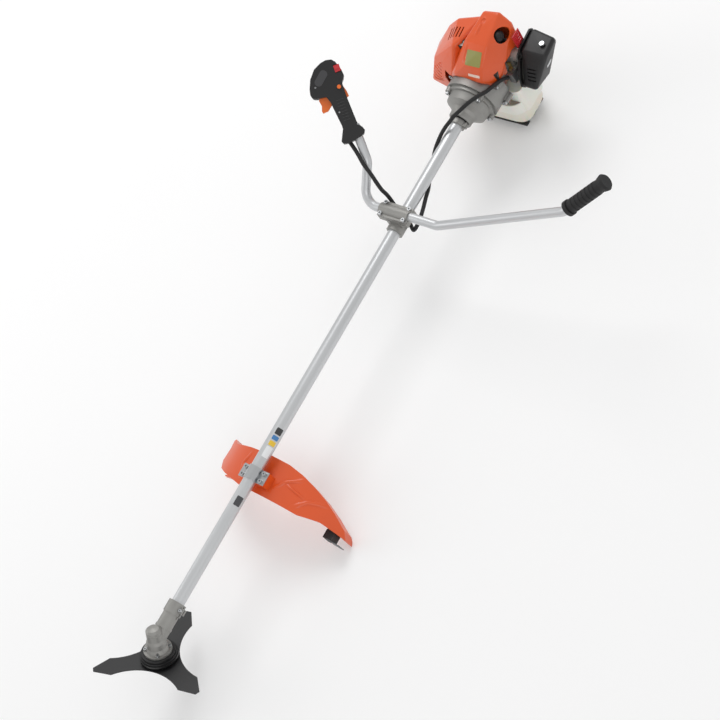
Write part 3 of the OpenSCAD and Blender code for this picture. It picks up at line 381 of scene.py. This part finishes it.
def swept(name, line, radius, sides, material, body, inner=None):
    """A closed pipe or rod along a line of points."""
    tangents = []
    for i in range(len(line)):
        before, after = line[max(i - 1, 0)], line[min(i + 1, len(line) - 1)]
        tangents.append((after - before).normalized())
    normal = tangents[0].orthogonal().normalized()
    work = bmesh.new()

    def ring(centre, along, normal, size):
        across = along.cross(normal)
        return [work.verts.new(centre + (normal * math.cos(turn) + across * math.sin(turn)) * size)
                for turn in (2 * math.pi * k / sides for k in range(sides))]

    rings, bores = [], []
    for centre, along in zip(line, tangents):
        normal = (normal - along * normal.dot(along)).normalized()
        rings.append(ring(centre, along, normal, radius))
        if inner:
            bores.append(ring(centre, along, normal, inner))
    for skin, flip in ((rings, False), (bores, True)):
        for a, b in zip(skin, skin[1:]):
            for k in range(sides):
                face = [a[k], a[(k + 1) % sides], b[(k + 1) % sides], b[k]]
                work.faces.new(face[::-1] if flip else face)
    for end in (0, -1):
        if inner:
            for k in range(sides):
                m = (k + 1) % sides
                work.faces.new([rings[end][k], rings[end][m], bores[end][m], bores[end][k]])
        else:
            work.faces.new(rings[end])
    bmesh.ops.recalc_face_normals(work, faces=work.faces)
    return piece_from(work, name, material, body)


def piece_from(work, name, material, body):
    """Turns a bmesh into a smooth piece that rides on a body."""
    mesh = bpy.data.meshes.new(name)
    work.to_mesh(mesh)
    work.free()
    mesh.materials.append(material)
    mesh.shade_smooth()
    mesh.set_sharp_from_angle(angle=math.radians(EDGE_ANGLE))
    piece = bpy.data.objects.new(name, mesh)
    bpy.context.collection.objects.link(piece)
    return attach(piece, body)


# %% [markdown]
# ## The handlebar
# A 19 mm tube lies across the shaft and leans back 45 degrees. Each side is a list of straight
# lengths and the bend after each, as a tube bender would be told. The bends get a stop every
# three degrees, which looks round where CAD made do with ten.

# %% Handlebar
BAR_RADIUS, BAR_WALL, BEND_RADIUS = 9.5, 2.0, 32.0
BAR_PLACE = shaft_point(0, 877, 30)
BAR_LEAN = math.radians(45)
BEND_STOP = 3


def set_back(angle):
    """How much a bend takes off the straight on each side of it."""
    return BEND_RADIUS * math.tan(math.radians(abs(angle)) / 2)


PLAIN_SIDE = [(104 - set_back(20), 20), (300 - set_back(20) - set_back(24), 24),
              (106 - set_back(24), 0)]
HANDLE_SIDE_RUN = [(79 - set_back(90), 90), (88 - set_back(90) - set_back(31), -31),
                   (50 - set_back(31) + 22, 0)]


def bent_run(steps, side):
    """Points of one side in the bar's own plane; `side` is 1 for the plain side."""
    at, heading, points = Vector((0, 0)), 0.0, []
    for length, bend in steps:
        at = at + Vector((math.cos(heading), math.sin(heading))) * length
        points.append(at.copy())
        stops = math.ceil(abs(bend) / BEND_STOP)
        for _ in range(stops):
            turn = math.radians(bend) / stops
            chord = 2 * BEND_RADIUS * math.sin(abs(turn) / 2)
            middle = heading + turn / 2
            at = at + Vector((math.cos(middle), math.sin(middle))) * chord
            heading += turn
            points.append(at.copy())
    return [Vector((p.x * side, 0, p.y)) / 1000 for p in points]


lean = Matrix.Rotation(-BAR_LEAN, 3, "X")
flat_line = bent_run(HANDLE_SIDE_RUN, -1)[::-1] + bent_run(PLAIN_SIDE, 1)
bar_line = [BAR_PLACE + lean @ p for p in flat_line]
handlebar = swept("handlebar_tube", bar_line, BAR_RADIUS / 1000, 32,
                  finishes["tube_aluminium"], "frame", (BAR_RADIUS - BAR_WALL) / 1000)
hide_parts("handlebar")
print("handlebar stops:", len(bar_line))

# %% [markdown]
# ## The throttle cable
# A stiff black sleeve holds the throttle wire and the switch leads. It leaves the bottom of the
# throttle handle, loops down behind the handlebar clamp, runs along the shaft tube and ends at
# the carburettor. A smooth curve through its points makes the sleeve. The bend just below the
# clamp is tighter than a real sleeve would take.

# %% Throttle cable
CABLE_RADIUS = 0.0042
CABLE_STEPS = 4
CABLE_POINTS = [
    (-121, 958, 130), (-117, 954, 125), (-104, 946, 118), (-92, 938, 111),
    (-76, 926, 103), (-56, 915, 92), (-42, 906, 78), (-35, 902, 62),
    (-32, 903, 44), (-31, 903, 26), (-30, 902, 8), (-25, 900, -7),
    (-15, 897, -20), (2, 888, -25), (18, 876, -21), (28, 872, -15),
    (31, 880, -12), (29, 896, -12), (23, 918, -13), (15, 943, -13),
    (6, 966, -17), (-3, 986, -18), (-11, 1012, -15), (-17, 1036, -7),
    (-18, 1054, 1), (-15, 1076, 11), (-8, 1090, 21), (0, 1100, 29),
    (7, 1114, 35), (16, 1128, 39), (28, 1144, 45), (44, 1164, 49),
    (52, 1180, 44), (57, 1198, 40), (63, 1214, 37), (67, 1225, 32),
    (69, 1233, 26),
]


def smooth_line(points, steps):
    """A curve that passes through every point, with `steps` pieces between neighbours."""
    line = []
    for i in range(len(points) - 1):
        before = points[max(i - 1, 0)]
        a, b = points[i], points[i + 1]
        after = points[min(i + 2, len(points) - 1)]
        for k in range(steps):
            t = k / steps
            line.append(0.5 * (2 * a + (b - before) * t
                               + (2 * before - 5 * a + 4 * b - after) * t * t
                               + (3 * a - before - 3 * b + after) * t ** 3))
    return line + [points[-1]]


cable_line = smooth_line([shaft_point(*p) for p in CABLE_POINTS], CABLE_STEPS)
cable_length = sum((b - a).length for a, b in zip(cable_line, cable_line[1:]))
cable = swept("throttle_cable", cable_line, CABLE_RADIUS, 16, finishes["rubber"], "frame")
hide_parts("cable_sleeve")
print("cable length:", round(cable_length, 3), "m")

# %% [markdown]
# ## Pieces that lie on a surface
# Labels, raised ribs and creases follow the surface under them. Each is a strip: its middle
# line is dropped onto the CAD surface along a chosen direction, and the strip's thickness
# stands off the surface. Corners are rounded, and a crown makes a rib instead of a flat label.

# %% Strips on a surface
STRIP_SINK = 0.0003
CORNER_START = 0.02
RIB_RISE, RIB_END = 3, 0.05


def surface_of(*nodes):
    """The faces of some CAD nodes, ready to be looked up."""
    points, faces = [], []
    for node in nodes:
        mesh = frame["nodes"][node].data
        start = len(points)
        points += [v.co.copy() for v in mesh.vertices]
        faces += [[start + k for k in p.vertices] for p in mesh.polygons]
    return BVHTree.FromPolygons(points, faces)


def resampled(line, count):
    """Points spaced evenly along a line of straight pieces."""
    lengths = [(b - a).length for a, b in zip(line, line[1:])]
    total, points = sum(lengths), []
    for k in range(count + 1):
        left, i = total * k / count, 0
        while i < len(lengths) - 1 and left > lengths[i]:
            left -= lengths[i]
            i += 1
        points.append(line[i].lerp(line[i + 1], min(left / lengths[i], 1)))
    return points, total


def strip(name, nodes, line, drop, width, thick, material,
          corner=0.0, crown=False, count=24, across_count=8, reach=0.03):
    """A label or rib that follows a surface. `drop` points from outside towards the surface."""
    surface = surface_of(*nodes)
    drop = Vector(drop).normalized()
    points, total = resampled([Vector(p) for p in line], count)
    work = bmesh.new()
    tops, bottoms = [], []
    for k, point in enumerate(points):
        along = (points[min(k + 1, count)] - points[max(k - 1, 0)]).normalized()
        across = along.cross(drop).normalized()
        gap = max(min(k, count - k) * total / count, CORNER_START * corner)
        half = width / 2
        if corner and gap < corner:
            half -= corner - math.sqrt(corner ** 2 - (corner - gap) ** 2)
        top, bottom = [], []
        for j in range(across_count + 1):
            share = 2 * j / across_count - 1
            start = point + across * (half * share) - drop * reach
            hit, normal, _, _ = surface.ray_cast(start, drop, 2 * reach)
            if hit is None:  # just past an edge
                hit, normal, _, _ = surface.find_nearest(start + drop * reach)
            if normal.dot(drop) > 0:
                normal = -normal
            lift = thick * (1 - share * share) if crown else thick
            if crown:
                lift *= min(1.0, RIB_RISE * min(k, count - k) / count + RIB_END)
            top.append(work.verts.new(hit + normal * lift))
            bottom.append(work.verts.new(hit - normal * STRIP_SINK))
        tops.append(top)
        bottoms.append(bottom)
    for k in range(count):
        for j in range(across_count):
            work.faces.new([tops[k][j], tops[k][j + 1], tops[k + 1][j + 1], tops[k + 1][j]])
            work.faces.new([bottoms[k][j], bottoms[k + 1][j], bottoms[k + 1][j + 1],
                            bottoms[k][j + 1]])
        for j in (0, across_count):
            work.faces.new([tops[k][j], tops[k + 1][j], bottoms[k + 1][j], bottoms[k][j]])
    for k in (0, count):
        for j in range(across_count):
            work.faces.new([tops[k][j], bottoms[k][j], bottoms[k][j + 1], tops[k][j + 1]])
    bmesh.ops.recalc_face_normals(work, faces=work.faces)
    return piece_from(work, name, material, "frame")


# %% [markdown]
# ## Plates on the engine covers
# The hood's front slope carries a plate and a small strip, and the air cleaner's side another.
# They are thin printed foil on the real machine. Here they stay blank: olive, pale and silver.

# %% Engine plates
finishes["plate_olive"] = moulded("plate_olive", rgba(0.26, 0.25, 0.06), 0.34, 250, coat=0.3)
finishes["plate_pale"] = moulded("plate_pale", rgba(0.80, 0.62, 0.52), 0.35, 250, coat=0.2)
finishes["plate_silver"] = cast_metal("plate_silver", rgba(0.62, 0.63, 0.64), 0.34)
HOOD_SLOPE = (0, 0.63, -0.77)
strip("hood_plate", ["top_cover"], [(0.023, -0.029, 0.246), (0.023, -0.053, 0.226)], HOOD_SLOPE,
      0.036, 0.0004, finishes["plate_olive"], corner=0.002)
strip("hood_strip", ["top_cover"], [(0.010, -0.0625, 0.2064), (0.038, -0.0625, 0.2064)],
      (0, 0.93, -0.38), 0.006, 0.0004, finishes["plate_pale"], corner=0.001)
strip("cleaner_plate", ["air_cover"], [(0.1359, 0.022, 0.162), (0.1359, 0.040, 0.162)],
      (-0.95, 0.10, 0.28), 0.009, 0.0004, finishes["plate_silver"],
      corner=0.001)

# %% [markdown]
# ## Stickers on the shaft tube
# Coloured foil stickers sit on the tube on both sides of the guard. Each is a strip that wraps
# round the side that faces up. They are blank here: white, yellow, blue and black.

# %% Tube stickers
TUBE_SIDE = (-0.68, 0, -0.73)
STICKERS = [
    ("sticker_white", rgba(0.78, 0.79, 0.80), 320, 24),
    ("sticker_yellow", rgba(0.80, 0.52, 0.04), 346, 10),
    ("sticker_blue", rgba(0.05, 0.20, 0.46), 359, 9),
    ("sticker_black", rgba(0.03, 0.03, 0.03), 371, 14),
    ("sticker_dark", rgba(0.05, 0.05, 0.055), 212, 20),
]
for name, colour, along, length in STICKERS:
    finishes[name] = moulded(name, colour, 0.3, 250, coat=0.3)
    place = shaft_point(9.2, along, 9.2)
    strip(name, ["shaft_tube"], [place, place + Vector((0, length / 1000, 0))], TUBE_SIDE,
          0.013, 0.00025, finishes[name], corner=0.0015)

# %% [markdown]
# ## Ridges of the guard and the hood
# A thin moulded roof would drum and bend, so the guard has raised ridges that run out from the
# strap. The hood has one along its top and one down its front. Each is a crowned strip of the
# same orange plastic.

# %% Moulded ridges
DOWN = (0, 0, -1)
RIDGES = [
    ("guard_ridge_near", "guard",
     [(0.036, -0.980, 0.115), (0.053, -0.957, 0.110), (0.086, -0.936, 0.105)], DOWN, 0.009),
    ("guard_ridge_far", "guard",
     [(0.088, -0.994, 0.100), (0.106, -0.972, 0.095), (0.140, -0.958, 0.078)], DOWN, 0.009),
    ("guard_ridge_middle", "guard",
     [(0.056, -0.960, 0.110), (0.104, -0.970, 0.098)], DOWN, 0.007),
    ("guard_ridge_short", "guard",
     [(-0.044, -0.988, 0.112), (-0.058, -0.955, 0.110), (-0.050, -0.926, 0.112)], DOWN, 0.009),
    ("hood_ridge_top", "top_cover", [(0.014, -0.004, 0.257), (0.020, 0.040, 0.268)], DOWN, 0.007),
    ("hood_ridge_front", "top_cover",
     [(0.002, -0.020, 0.250), (-0.002, -0.050, 0.226)], HOOD_SLOPE, 0.006),
]
for name, node, line, drop, width in RIDGES:
    strip(name, [node], line, drop, width, 0.0024, finishes["orange_plastic"],
          crown=True, reach=0.06)

# %% [markdown]
# ## Grip of the throttle handle
# Thin ribs across the side of the handle keep the glove from slipping, and an oval pad marks
# the head beside the switch. The ribs are narrow crowned strips in the handle's own frame.

# %% Handle ribs and pad
finishes["pad_grey"] = moulded("pad_grey", rgba(0.045, 0.045, 0.048), 0.6, 800, depth=0.0003)
INTO_HANDLE = -HANDLE_SIDE
for i, up in enumerate(range(40, 84, 6)):
    strip(f"handle_rib_{i}", ["throttle_shell_left"],
          [handle_point(18, -10, up), handle_point(18, 9, up)], INTO_HANDLE, 0.0022, 0.0007,
          finishes["black_plastic"], crown=True, across_count=6)
strip("handle_pad", ["throttle_shell_left"],
      [handle_point(18, -34, 124), handle_point(18, -8, 146)], INTO_HANDLE, 0.016, 0.0005,
      finishes["pad_grey"], corner=0.007)

# %% [markdown]
# ## Floor, light and camera
# A pale floor and a pale surround keep the picture plain. One large soft lamp above the
# engine's side gives the broad highlights, a second fills the shadows, and a third lifts the
# far edge of the tube.

# %% Stage
def floor_material():
    made = Finish("floor")
    drift = made.noise(1.5, 2)
    made.colour(made.blend(drift, rgba(0.93, 0.93, 0.93), rgba(0.95, 0.95, 0.95)))
    made.roughness(drift * 0.1 + 0.8)
    return made.material


FLOOR_HALF = 14.0
FLOOR_GAP = 0.0005
work = bmesh.new()
bmesh.ops.create_grid(work, x_segments=8, y_segments=8, size=FLOOR_HALF)
floor_mesh = bpy.data.meshes.new("floor")
work.to_mesh(floor_mesh)
work.free()
floor_mesh.materials.append(floor_material())
floor = bpy.data.objects.new("floor", floor_mesh)
floor.location.z = cad_low[2] - FLOOR_GAP
bpy.context.collection.objects.link(floor)

world = bpy.data.worlds.new("studio")
bpy.context.scene.world = world
world.use_nodes = True
sky = world.node_tree.nodes["Background"].inputs
sky["Color"].default_value = rgba(1.0, 1.0, 1.0)
sky["Strength"].default_value = 0.72


def soft_lamp(name, place, target, size, power):
    data = bpy.data.lights.new(name, "AREA")
    data.shape = "DISK"
    data.size = size
    data.energy = power
    lamp = bpy.data.objects.new(name, data)
    lamp.location = place
    lamp.rotation_euler = (Vector(target) - Vector(place)).to_track_quat("-Z", "Y").to_euler()
    bpy.context.collection.objects.link(lamp)


MIDDLE = (0.0, -0.6, 0.2)
soft_lamp("key_lamp", (-1.2, 1.6, 3.2), MIDDLE, 2.2, 44)
soft_lamp("fill_lamp", (2.8, -2.6, 2.4), MIDDLE, 2.6, 18)
soft_lamp("edge_lamp", (-2.6, -1.8, 1.6), MIDDLE, 1.6, 12)

# %% Camera
CAMERA_PLACE = (1.92716, -1.44704, 2.75997)
CAMERA_TURN = (29.606, 23.765, 32.160)
lens = bpy.data.cameras.new("camera")
lens.lens = 84.95
lens.sensor_width = 36
camera = bpy.data.objects.new("camera", lens)
camera.location = CAMERA_PLACE
camera.rotation_euler = [math.radians(a) for a in CAMERA_TURN]
bpy.context.collection.objects.link(camera)
bpy.context.scene.camera = camera
bpy.context.scene.view_settings.view_transform = "Standard"
